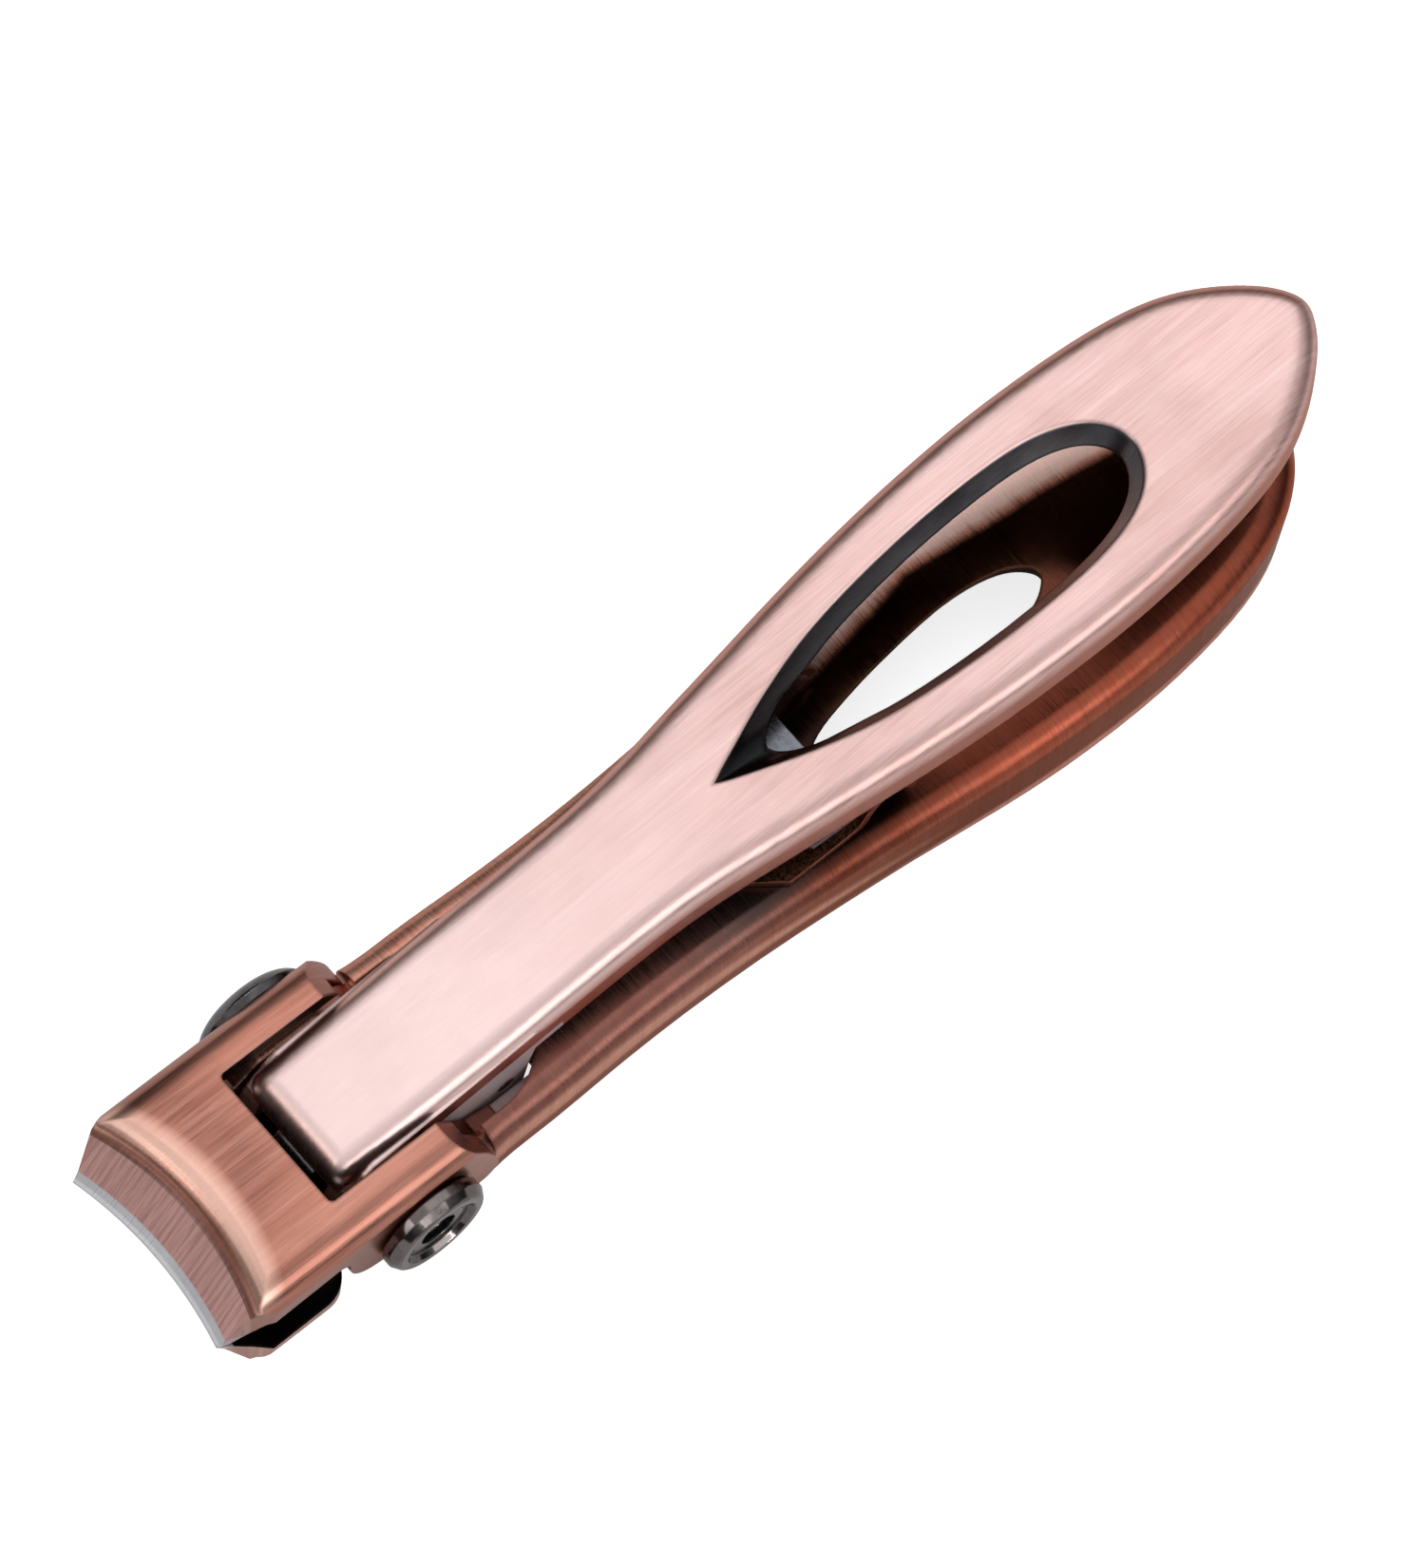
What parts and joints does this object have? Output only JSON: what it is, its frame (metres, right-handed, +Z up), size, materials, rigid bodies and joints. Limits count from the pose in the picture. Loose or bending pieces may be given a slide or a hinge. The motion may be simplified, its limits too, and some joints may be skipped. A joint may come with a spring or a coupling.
{
  "type": "nail clipper",
  "caption": "Wide-jaw plier-type nail clipper in antique rose copper: windowed top lever, hollow lower handle, curved cutting jaws and a single cross rivet.",
  "frame": {"origin": "on the flat underside of the lower jaw, straight below the axis of the pivot rivet", "axes": "+X from the cutting edge towards the handle tails, +Y across to the domed rivet head, +Z up, the lever on top"},
  "size_m": [0.0935, 0.0196, 0.0201],
  "materials": {
    "jaw_copper": "antique rose copper finish, brushed lengthwise, ground cutting bevel",
    "jaw_copper_lower": "antique rose copper finish, ground cutting bevel",
    "lever_rose": "rose copper finish, fine lengthwise brushing, dark window walls",
    "handle_rose": "rose copper finish, brushed across",
    "rivet_steel": "polished dark chrome dome",
    "cap_steel": "polished dark chrome ring",
    "washer_brass": "plain washer",
    "spacer_steel": "plain sleeve",
    "stud_steel": "plain stud",
    "pin_steel": "plain pin",
    "leaf_pin_steel": "plain pin",
    "upper_leaf_steel": "spring steel, copper tinted",
    "lower_leaf_steel": "spring steel, copper tinted",
    "spring_rivet_steel": "small rivet heads"
  },
  "bodies": {
    "handle": {"upper_jaw": "jaw_copper", "lower_handle": "handle_rose", "pivot_rivet": "rivet_steel", "rivet_cap": "cap_steel", "pivot_washers": "washer_brass", "jaw_lock_studs": "stud_steel", "lower_leaf_spring": "lower_leaf_steel", "spring_rivets": "spring_rivet_steel"},
    "lever": {"lever": "lever_rose", "lower_jaw": "jaw_copper_lower", "lever_lock_pin": "pin_steel", "upper_leaf_pin": "leaf_pin_steel", "upper_leaf_spring": "upper_leaf_steel", "pivot_spacer": "spacer_steel"}
  },
  "joints": [
    {"name": "pivot", "type": "hinge", "parent": "handle", "child": "lever", "pos_m": [0, 0, 0.0042], "axis": [0, -1, 0], "range_deg": [0, 20]}
  ]
}
